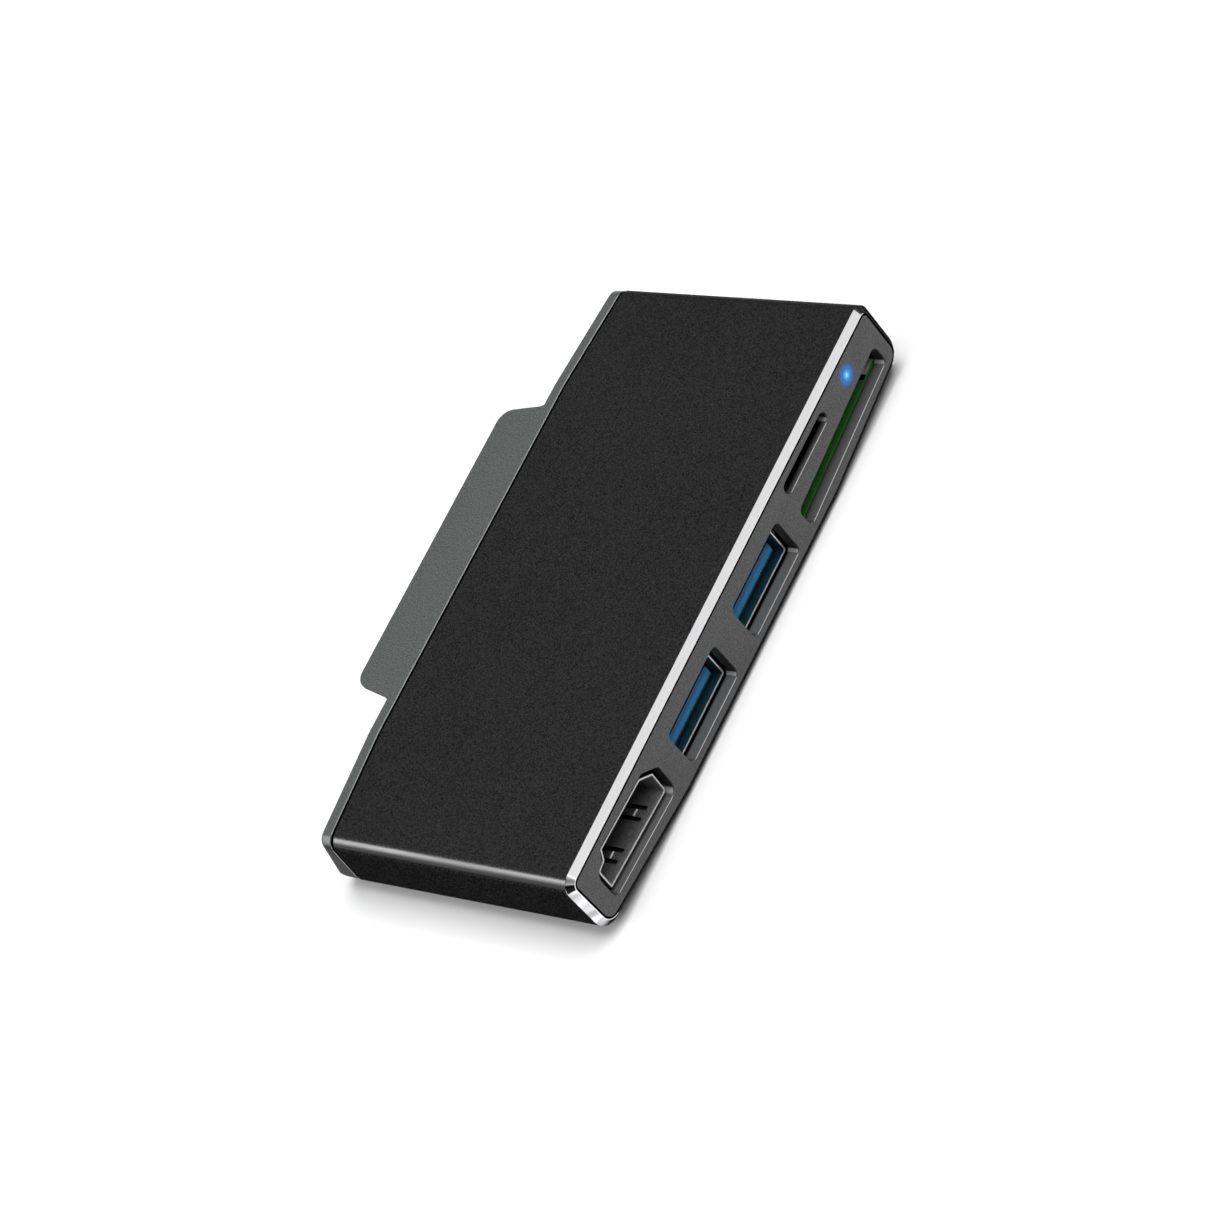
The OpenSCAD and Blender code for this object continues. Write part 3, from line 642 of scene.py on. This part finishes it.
def loft(rings, closed=False):
    """Skins rings of 3-D points. A closed loft joins the last ring to the first."""
    bm = bmesh.new()
    rows = [[bm.verts.new(p) for p in ring] for ring in rings]
    pairs = list(zip(rows, rows[1:]))
    if closed:
        pairs.append((rows[-1], rows[0]))
    else:
        bm.faces.new(reversed(rows[0]))
        bm.faces.new(rows[-1])
    for low, high in pairs:
        for i in range(len(low)):
            j = (i + 1) % len(low)
            bm.faces.new((low[i], low[j], high[j], high[i]))
    return bm


# ---- Sleeve ----

def section_sizes(inset):
    """Half length, both long edges' radii, half the flat and the lower radius's centre height."""
    half = HALF_LEN - inset
    top_r, low_r = TOP_R - inset, LOW_R - inset
    flat = FLAT_HALF - inset * math.tan(SLOPE / 2)
    low_z = inset + (half - low_r - flat) * math.tan(SLOPE) + low_r / math.cos(SLOPE)
    return half, top_r, low_r, flat, low_z


def body_outline(inset):
    """The body's section (y, z), drawn inside its surface by inset.

    It has a point where the rear joint turns.
    """
    steps = 14
    half, top_r, low_r, flat, low_z = section_sizes(inset)
    turn = (SWEEP_Y, inset + (SWEEP_Y - flat) * math.tan(SLOPE))
    right = [(flat, inset), turn]
    right += arc((half - low_r, low_z), low_r, math.degrees(SLOPE) - 90, 0, steps)
    right += arc((half - top_r, BODY_T - inset - top_r), top_r, 0, 90, steps)
    right += [(SWEEP_Y, BODY_T - inset)]
    return right + mirrored(right)


def rear_depth(y, z, depth, lean):
    """How far behind the fascia the three-sided rear surface lies at (y, z)."""
    across = max(0.0, abs(y) - SWEEP_Y)
    return depth + (BODY_T - z) * math.tan(lean) - across * math.tan(END_SWEEP)


def sleeve_ring(inset, depth=None, back_off=0.0):
    """A ring of the sleeve at one depth, or on the rear joint when depth is None."""
    ring = []
    for y, z in body_outline(inset):
        joint = rear_depth(y, z, SLEEVE_D, JOINT_LEAN) - back_off
        ring.append((FRONT - (joint if depth is None else depth), y, z))
    return ring


def make_sleeve():
    """The tube, with a painted shadow where it meets the cap, and the bright chamfer round its port
    end.
    """
    edge, dark_band = 0.08, 0.24
    rings = [sleeve_ring(edge), sleeve_ring(0.0, back_off=edge),
             sleeve_ring(0.0, back_off=dark_band), sleeve_ring(0.0, CHAMFER),
             sleeve_ring(WALL, CHAMFER), sleeve_ring(WALL)]
    dark_rows = (0, 1, len(rings) - 1)
    tube = loft(rings, closed=True)
    tube.faces.ensure_lookup_table()
    for number, face in enumerate(tube.faces):
        face.material_index = int(number // len(rings[0]) in dark_rows)
    new_piece("sleeve_body", tube, "black_anodised", ["sleeve"],
              looks=["black_anodised", "shadow_gap"])

    lip = 0.03
    lip_front, lip_back = lip * 0.4, lip * 1.4
    ring = loft([sleeve_ring(0.0, CHAMFER), sleeve_ring(lip, CHAMFER - lip_back),
                 sleeve_ring(CHAMFER_RUN - lip, lip_front), sleeve_ring(CHAMFER_RUN, 0.0),
                 sleeve_ring(WALL, 0.0), sleeve_ring(WALL, CHAMFER)], closed=True)
    bmesh.ops.recalc_face_normals(ring, faces=ring.faces)
    low_part, far_part = 2.4, HALF_LEN - 1.5
    for face in ring.faces:
        place, normal = face.calc_center_median(), face.normal
        anodised = normal.y > 0.5 or normal.z < -0.45 or normal.z > 0.75
        anodised |= normal.x > 0.8 and (place.z < low_part or place.y > far_part)
        face.material_index = int(anodised)
    new_piece("sleeve_bright_chamfer", ring, "bright_cut", ["sleeve"], degrees=10,
              looks=["bright_cut", "black_anodised"])


# ---- Fascia ----

def round_rect(centre, size, radius, steps=8):
    """An anticlockwise rectangle (y, z) with rounded corners."""
    a, b = size[0] / 2 - radius, size[1] / 2 - radius
    corners = [(a, b, 0), (-a, b, 90), (-a, -b, 180), (a, -b, 270)]
    return [p for ca, cb, start in corners
            for p in arc((centre[0] + ca, centre[1] + cb), radius, start, start + 90, steps)]


def turned(points, centre, angle):
    """Points (y, z) turned about a centre; a positive angle lifts the +Y side."""
    c, s = math.cos(angle), math.sin(angle)
    return [(centre[0] + (a - centre[0]) * c - (b - centre[1]) * s,
             centre[1] + (a - centre[0]) * s + (b - centre[1]) * c) for a, b in points]


def rounded_loop(corners, steps=6):
    """A closed outline with each corner (a, b, radius) rounded."""
    loop = []
    for i, (a, b, radius) in enumerate(corners):
        here = Vector((a, b))
        to_last = (Vector(corners[i - 1][:2]) - here).normalized()
        to_next = (Vector(corners[(i + 1) % len(corners)][:2]) - here).normalized()
        half = to_last.angle(to_next) / 2
        middle = here + (to_last + to_next).normalized() * (radius / math.sin(half))
        start = here + to_last * (radius / math.tan(half)) - middle
        end = here + to_next * (radius / math.tan(half)) - middle
        sweep = start.angle_signed(end)
        for k in range(steps + 1):
            turn = -sweep * k / steps
            c, s = math.cos(turn), math.sin(turn)
            loop.append((middle.x + start.x * c - start.y * s,
                         middle.y + start.x * s + start.y * c))
    return loop


# Each corner's place from the port's middle, its radius, and 1 where growing the section
# grows the radius too
HDMI_CORNERS = [(7.5, -HDMI_HALF_H, 0.65, 1), (7.5, 0.95, 0.4, 1), (5.4, 2.6, 0.5, 1),
                (-5.25, 2.5, 0.35, 1), (-5.95, 1.05, 0.5, 0), (-7.55, 0.75, 0.65, 1),
                (-7.5, -HDMI_HALF_H, 0.15, 1)]
SHARPEST_R = 0.06


def hdmi_outline(grow):
    """The display port's section (y, z), narrow side up, grown evenly and tilted as fitted."""
    sharp = grown([(HDMI_Y + a, HDMI_Z + b) for a, b, _, _ in HDMI_CORNERS], grow)
    loop = rounded_loop([(*point, max(SHARPEST_R, r + grow * grows))
                         for point, (_, _, r, grows) in zip(sharp, HDMI_CORNERS)])
    return turned(loop, (HDMI_Y, HDMI_Z), -TILT)


def grown(loop, grow):
    """An anticlockwise outline moved outwards by grow."""
    moved = []
    for i, point in enumerate(loop):
        here = Vector(point)
        one = (here - Vector(loop[i - 1])).normalized()
        two = (Vector(loop[(i + 1) % len(loop)]) - here).normalized()
        out = Vector((one.y + two.y, -one.x - two.x)).normalized()
        share = max(0.5, out.dot(Vector((one.y, -one.x))))
        moved.append(tuple(here + out * (grow / share)))
    return moved


def plate_with_holes(outline, holes, thickness, edge):
    """A plate in Y and Z, its front at x = 0, with its front edges rounded.

    The side faces round its outline, which line the shadow gap, have material 1.
    """
    bm = bmesh.new()
    flat_edges = {0: [], 1: []}
    edge_steps = 4
    for number, loop in enumerate([outline, *holes]):
        inwards, r = (-1, edge / 3) if number == 0 else (1, edge)
        angles = [math.radians(90 * k / edge_steps) for k in range(edge_steps + 1)]
        steps = [(r * (1 - math.sin(a)), r * (1 - math.cos(a))) for a in angles]
        rows = [[bm.verts.new((-down, y, z)) for y, z in grown(loop, inwards * over)]
                for over, down in steps]
        rows.append([bm.verts.new((-thickness, y, z)) for y, z in loop])
        pairs = [(i, (i + 1) % len(loop)) for i in range(len(loop))]
        for low, high in zip(rows, rows[1:]):
            for i, j in pairs:
                face = bm.faces.new((low[i], low[j], high[j], high[i]))
                face.material_index = int(number == 0)
        for side, row in ((0, rows[0]), (1, rows[-1])):
            flat_edges[side] += [bm.edges.get((row[i], row[j])) for i, j in pairs]
    for side in (0, 1):
        bmesh.ops.triangle_fill(bm, use_beauty=True, use_dissolve=False, edges=flat_edges[side])
    return bm


def make_fascia():
    """The plate with the ports' and slots' openings and the light pipe's hole."""
    edge_r = 0.18
    outline = body_outline(WALL + FASCIA_GAP)
    holes = [round_rect((y, USB_Z), USB_OPEN, USB_OPEN_R) for y in USB_Y]
    holes.append(hdmi_outline(HDMI_MARGIN))
    holes.append(turned(round_rect((SD_Y, SD_Z), SD_OPEN, SD_OPEN_R), (SD_Y, SD_Z), TILT))
    holes.append(round_rect((MSD_Y, MSD_Z), MSD_OPEN, MSD_OPEN_R))
    holes.append(arc((LED_Y, LED_Z), PIPE_R + PIPE_GAP, 0, 345, 23))
    plate = plate_with_holes(outline, holes, FASCIA_T, edge_r)
    bmesh.ops.translate(plate, vec=(FRONT, 0, 0), verts=plate.verts)
    new_piece("port_fascia_plate", plate, "grey_fascia", ["port_fascia"],
              looks=["grey_fascia", "shadow_gap"])


# ---- Port shells ----

def rimmed_shell(outline, rim_d, back_d):
    """A sheet shell with a rolled rim round outline(grow).

    Its rim has material 1 and its inside has material 2.
    """
    lip = SHEET_T * 0.32
    soft = lip * 0.3
    section = [(0, back_d), (0, rim_d + lip), (-soft, rim_d + soft), (-lip, rim_d),
               (-SHEET_T + lip, rim_d), (-SHEET_T + soft, rim_d + soft),
               (-SHEET_T, rim_d + lip), (-SHEET_T, back_d)]
    inside_row = len(section) - 2
    rings = [[(FRONT - depth, y, z) for y, z in outline(grow)] for grow, depth in section]
    tube = loft(rings, closed=True)
    tube.faces.ensure_lookup_table()
    for number, face in enumerate(tube.faces):
        row = number // len(rings[0])
        face.material_index = 2 if row == inside_row else int(0 < row < inside_row)
    return tube


def make_hdmi_shell():
    """Two pairs of slots free a spring each in the shell's wide wall."""
    slot_side, slot_start_d, slot_end_d, slot_width = 0.88, 1.8, 5.8, 0.62
    tip_d = 3.3
    tube = rimmed_shell(hdmi_outline, HDMI_RIM_D, HDMI_BACK_D)
    shell = new_piece("hdmi_port_shell", tube, "nickel_plate", ["hdmi_shell"],
                      looks=["nickel_plate", "hdmi_rim", "shaded_shell_inside"])
    floor_z = HDMI_Z - HDMI_HALF_H
    for number, spring_y in enumerate(HDMI_SPRINGS_Y):
        for side in (-slot_side, slot_side):
            cutter = slot_cutter(HDMI_Y + spring_y + side, floor_z,
                                 slot_start_d, slot_end_d, slot_width)
            subtract(shell, cutter, "shadow_gap")
        bar = spring_bar(HDMI_Y + spring_y, floor_z + SHEET_T, tip_d)
        new_piece(f"hdmi_port_spring_{number + 1}", bar, "nickel_plate", ["hdmi_shell"],
                  looks=["spring_tip_highlight"])


def make_hdmi_film():
    """Black sheet under the display port, seen through the spring slots."""
    half_width, front_d, back_d = 6.6, 1.7, 6.4
    bottom, top = 0.16, 0.05
    floor_z = HDMI_Z - HDMI_HALF_H
    low, high = floor_z - bottom, floor_z - top
    corners = [(-half_width, front_d), (-half_width, back_d),
               (half_width, back_d), (half_width, front_d)]
    film = loft([[(FRONT - d, HDMI_Y + a, z) for a, d in corners] for z in (low, high)])
    new_piece("hdmi_port_film", in_hdmi_frame(film), "black_plastic", ["hdmi_shell"])


def make_usb_shells():
    """Each shell has four slots beside its springs, in the top and bottom walls."""
    slots_y = (-4.6, -1.9, 1.9, 4.6)
    slot_half, slot_start_d, slot_end_d = 0.2, 4.3, 9.5
    corners = [(slot_start_d, -slot_half), (slot_start_d, slot_half),
               (slot_end_d, slot_half), (slot_end_d, -slot_half)]
    for number, y in enumerate(USB_Y):
        def outline(grow):
            size = [side + 2 * grow for side in USB_SHELL]
            return round_rect((y, USB_Z), size, USB_SHELL_R + grow)

        node = f"usb_port_{number + 1}_shell"
        tube = rimmed_shell(outline, USB_RIM_D, USB_BACK_D)
        shell = new_piece(f"{node}_rimmed", tube, "nickel_plate", [node],
                          looks=["nickel_plate", "shell_rim", "shaded_teal_reflection_inside"])
        for side in slots_y:
            subtract(shell, loft([[(FRONT - d, y + side + half, z) for d, half in corners]
                                  for z in (0.0, BODY_T)]))


def in_hdmi_frame(bm):
    """Tilts a mesh drawn beside the straight port to where the fitted port is."""
    centre = Vector((0, HDMI_Y, HDMI_Z))
    turn = Matrix.Translation(centre) @ Matrix.Rotation(-TILT, 4, "X") @ Matrix.Translation(-centre)
    bmesh.ops.transform(bm, matrix=turn, verts=bm.verts)
    return bm


def slot_cutter(y, z, start_d, end_d, width):
    """A slot with round ends along X, through the wide wall."""
    below, above = 0.5, 0.8
    half = width / 2
    ends = [(FRONT - start_d - half, 0), (FRONT - end_d + half, 180)]
    loop = [p for x, turn in ends for p in arc((x, y), half, -90 + turn, 90 + turn, 8)]
    return in_hdmi_frame(loft([[(a, b, z - below) for a, b in loop],
                               [(a, b, z + above) for a, b in loop]]))


def spring_bar(y, z, d):
    """The bent edge of a spring, which carries a painted highlight, standing a little above the
    wall.
    """
    half, height, half_width, sunk = 0.16, 0.14, 0.5, 0.02
    section = [(FRONT - d + a, z - sunk + b * height / half)
               for a, b in arc((0, 0), half, 0, 180, 8)]
    return in_hdmi_frame(loft([[(x, y + side * half_width, h) for x, h in section]
                               for side in (-1, 1)]))


def subtract(piece, cutter_bm, lining=None):
    """Cuts a bmesh in millimetres out of a piece, whose cut faces get the lining material."""
    bmesh.ops.recalc_face_normals(cutter_bm, faces=cutter_bm.faces)
    bmesh.ops.scale(cutter_bm, vec=(MM, MM, MM), verts=cutter_bm.verts)
    mesh = bpy.data.meshes.new("cutter")
    cutter_bm.to_mesh(mesh)
    cutter_bm.free()
    cutter = bpy.data.objects.new("cutter", mesh)
    bpy.context.scene.collection.objects.link(cutter)
    modifier = piece.modifiers.new("cut", "BOOLEAN")
    modifier.operation = "DIFFERENCE"
    modifier.solver = "EXACT"
    modifier.object = cutter
    if lining:
        mesh.materials.append(MATERIALS[lining])
        modifier.material_mode = "TRANSFER"
    bpy.context.view_layer.update()
    made = bpy.data.meshes.new_from_object(
        piece.evaluated_get(bpy.context.evaluated_depsgraph_get()))
    piece.modifiers.remove(modifier)
    old = piece.data
    name = old.name
    piece.data = made
    bpy.data.meshes.remove(old)
    made.name = name
    bpy.data.objects.remove(cutter)


# ---- Plug-end cap and tongue ----

def outline_span(y, inset):
    """Lowest and highest z of the body's section at y, drawn inside by inset."""
    half, top_r, low_r, flat, low_z = section_sizes(inset)
    y = abs(y)
    high = BODY_T - inset - rounding(y - (half - top_r), top_r)
    low = inset + max(0.0, y - flat) * math.tan(SLOPE)
    over = y - (half - low_r)
    if over > low_r * math.sin(SLOPE):
        low = low_z - math.sqrt(max(0.0, low_r ** 2 - over ** 2))
    return low, high


def rounding(over, radius):
    """How far a rounded edge has turned in, at a distance over past where it starts."""
    return radius - math.sqrt(max(0.0, radius ** 2 - over ** 2)) if over > 0 else 0.0


def tongue_points():
    """The tongue's free edge as (depth, y) from its root to its middle, on the +Y side."""
    root_d = SLEEVE_D + CAP_W
    fillet, fillet_rise = 0.7, 0.86
    tip_half = TONGUE_HALF - (TONGUE_D - root_d) * math.tan(TONGUE_SPLAY)
    splay = math.degrees(TONGUE_SPLAY)
    tip_centre = (TONGUE_D - TONGUE_R,
                  tip_half - TONGUE_R * (1 - math.sin(TONGUE_SPLAY)) / math.cos(TONGUE_SPLAY))
    root_centre = (root_d + fillet, TONGUE_HALF + fillet * fillet_rise)
    return (arc(root_centre, fillet, 180, 270 - splay, 6)
            + arc(tip_centre, TONGUE_R, 90 - splay, 0, 12))


TONGUE_EDGE = tongue_points()


def tongue_reach(y):
    """Depth of the tongue's free edge at y, or None beside the tongue."""
    y = abs(y - TONGUE_Y)
    if y >= TONGUE_EDGE[0][1]:
        return None
    for (d0, y0), (d1, y1) in zip(TONGUE_EDGE, TONGUE_EDGE[1:]):
        if y1 <= y <= y0 and y0 > y1:
            return d0 + (d1 - d0) * (y0 - y) / (y0 - y1)
    return TONGUE_D


def cap_section(y):
    """The cap's section at y, as (depth, z) points in a fixed order."""
    thinnest, tongue_start = 0.3, 0.05
    low, high = outline_span(y, CAP_INSET)
    half = HALF_LEN - CAP_INSET
    shy = rounding(abs(y) - (half - CAP_END_R), CAP_END_R)
    edge = CAP_EDGE
    turned_in = rounding(abs(y) - (half - edge), edge)

    def front(z):
        return rear_depth(y, z, SLEEVE_D, JOINT_LEAN) + JOINT_GAP + turned_in

    def outer(z):
        return max(front(z) + thinnest, rear_depth(y, z, SLEEVE_D + CAP_W, CAP_LEAN) - shy)

    points = [(front(high - edge), high - edge), (front(high) + edge, high)]
    reach = tongue_reach(y)
    if reach is not None and reach > outer(high) + tongue_start:
        soft = 0.12
        softer = soft * 0.3
        under = high - TONGUE_T
        points += [(reach - soft, high), (reach - softer, high - softer), (reach, high - soft),
                   (reach, under + soft), (reach - soft, under), (outer(under), under)]
    else:
        # Back from the corner and down from the top, as shares of the corner's radius
        round_corner = [(1.0, 0.0), (0.62, 0.08), (0.28, 0.28), (0.02, 0.55)]
        points += [(outer(high) - CAP_TOP_R * back, high - CAP_TOP_R * down)
                   for back, down in round_corner]
        points += [(outer(z), z) for z in (high - CAP_TOP_R * 0.8, high - TONGUE_T)]
    low_r = min(CAP_LOW_R, (high - low) * 0.3)
    centre = (outer(low + low_r) - low_r / math.cos(CAP_LEAN), low + low_r)
    points += arc(centre, low_r, -math.degrees(CAP_LEAN), -90, 6)
    points += [(front(low) + edge, low), (front(low + edge), low + edge)]
    return points


def cap_stations():
    """Places along Y: close together where the tongue's edge and the rounded ends turn."""
    half, nearest = HALF_LEN - CAP_INSET, 0.004
    ends = [0.0, 8.0, 16.0, FLAT_HALF, SWEEP_Y, 34.0, 39.0]
    for radius, angles in ((LOW_R, range(0, 91, 6)), (CAP_END_R, range(10, 91, 10)),
                           (CAP_EDGE, (0, 45, 75))):
        ends += [half - radius + radius * math.sin(math.radians(a)) for a in angles]
    places = [side * y for y in ends for side in (-1, 1)]
    places += [TONGUE_Y + side * y for _, y in TONGUE_EDGE for side in (-1, 1)]
    places = sorted(y for y in places if abs(y) <= half)
    kept = [places[0]]
    for y in places[1:]:
        if y - kept[-1] > nearest:
            kept.append(y)
    return kept


def plug_hole(lo, hi, gap, cut):
    """A plug's hole (y, z) in the cap, with both lower corners cut off."""
    left, right, low, high = lo.y - gap, hi.y + gap, lo.z - gap, hi.z + gap
    return [(left + cut, low), (right - cut, low), (right, low + cut), (right, high),
            (left, high), (left, low + cut)]


def make_cap():
    """The cap and its tongue, bright on the top edge, with a painted shadow where they face the
    sleeve.
    """
    gap, past_plug, past_joint = 0.06, 5.0, 0.5
    rings = [[(FRONT - d, y, z) for d, z in cap_section(y)] for y in cap_stations()]
    body = loft(rings)
    bmesh.ops.recalc_face_normals(body, faces=body.faces)
    top_edge = BODY_T - 1.5
    for face in body.faces:
        place, normal = face.calc_center_median(), face.normal
        rounded = abs(normal.y) > 0.3 or (normal.z > 0.3 and place.z > top_edge)
        face.material_index = 0 if normal.x < 0.2 else 1 if rounded and normal.x < 0.97 else 2
    cap = new_piece("plug_end_cap_with_tongue", body, "grey_cap", ["plug_end_cap"], degrees=28,
                    looks=["grey_cap", "cap_edge", "shadow_gap"])
    for name, cut in (("usb_plug_shell", 0.2), ("display_plug_shell", 1.25)):
        lo, hi = (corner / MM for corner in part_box(name))
        section = plug_hole(lo, hi, gap, cut)
        subtract(cap, loft([[(x, y, z) for y, z in section]
                            for x in (lo.x - past_plug, FRONT - SLEEVE_D - past_joint)]))


# ---- Springs ----

def make_card_springs():
    """The card sockets' return springs, as fixed coils that don't close up as the sliders go in."""
    turn_steps = 16
    for node, joint, wire_r, turns in (("sd_spring", "sd_slide", 0.12, 8),
                                       ("microsd_spring", "microsd_slide", 0.08, 7)):
        lo, hi = (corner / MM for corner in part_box(node))
        middle = (lo + hi) / 2
        coil_r = (hi.z - lo.z) / 2 - wire_r
        length = hi.x - lo.x
        steps = turn_steps * turns
        rings = []
        for step in range(steps + 1):
            turn = math.tau * step / turn_steps
            x = hi.x - wire_r - (length - 2 * wire_r) * step / steps
            rings.append([(x + a, middle.y + (coil_r + b) * math.cos(turn),
                           middle.z + (coil_r + b) * math.sin(turn))
                          for a, b in arc((0, 0), wire_r, 0, 315, 7)])
        coil = new_piece(f"{node}_coil", loft(rings), "spring_steel", [node])
        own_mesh(coil)


# ---- CAD nodes that stay ----

WELD_M = 1e-6
EDGE_WIDTH_M = 0.00004
EDGES_ABOVE = math.radians(40)


def dress_cad_nodes():
    """Gives every shown CAD node its material and breaks its sharp edges."""
    slots = {part["node"]: part["material_slot"] for part in frame["record"]["subparts"]}
    for name, obj in frame["nodes"].items():
        if obj.hide_render:
            continue
        for material_slot in obj.material_slots:
            material_slot.material = MATERIALS[slots[name]]
        weld = obj.modifiers.new("weld", "WELD")
        weld.merge_threshold = WELD_M
        bevel = obj.modifiers.new("edges", "BEVEL")
        bevel.limit_method = "ANGLE"
        bevel.angle_limit = EDGES_ABOVE
        bevel.width = EDGE_WIDTH_M
        bevel.segments = 2


MATERIALS = make_materials()
make_camera()
make_floor()
make_lights()
make_sleeve()
make_fascia()
make_hdmi_shell()
make_hdmi_film()
make_usb_shells()
make_cap()
make_card_springs()
dress_cad_nodes()
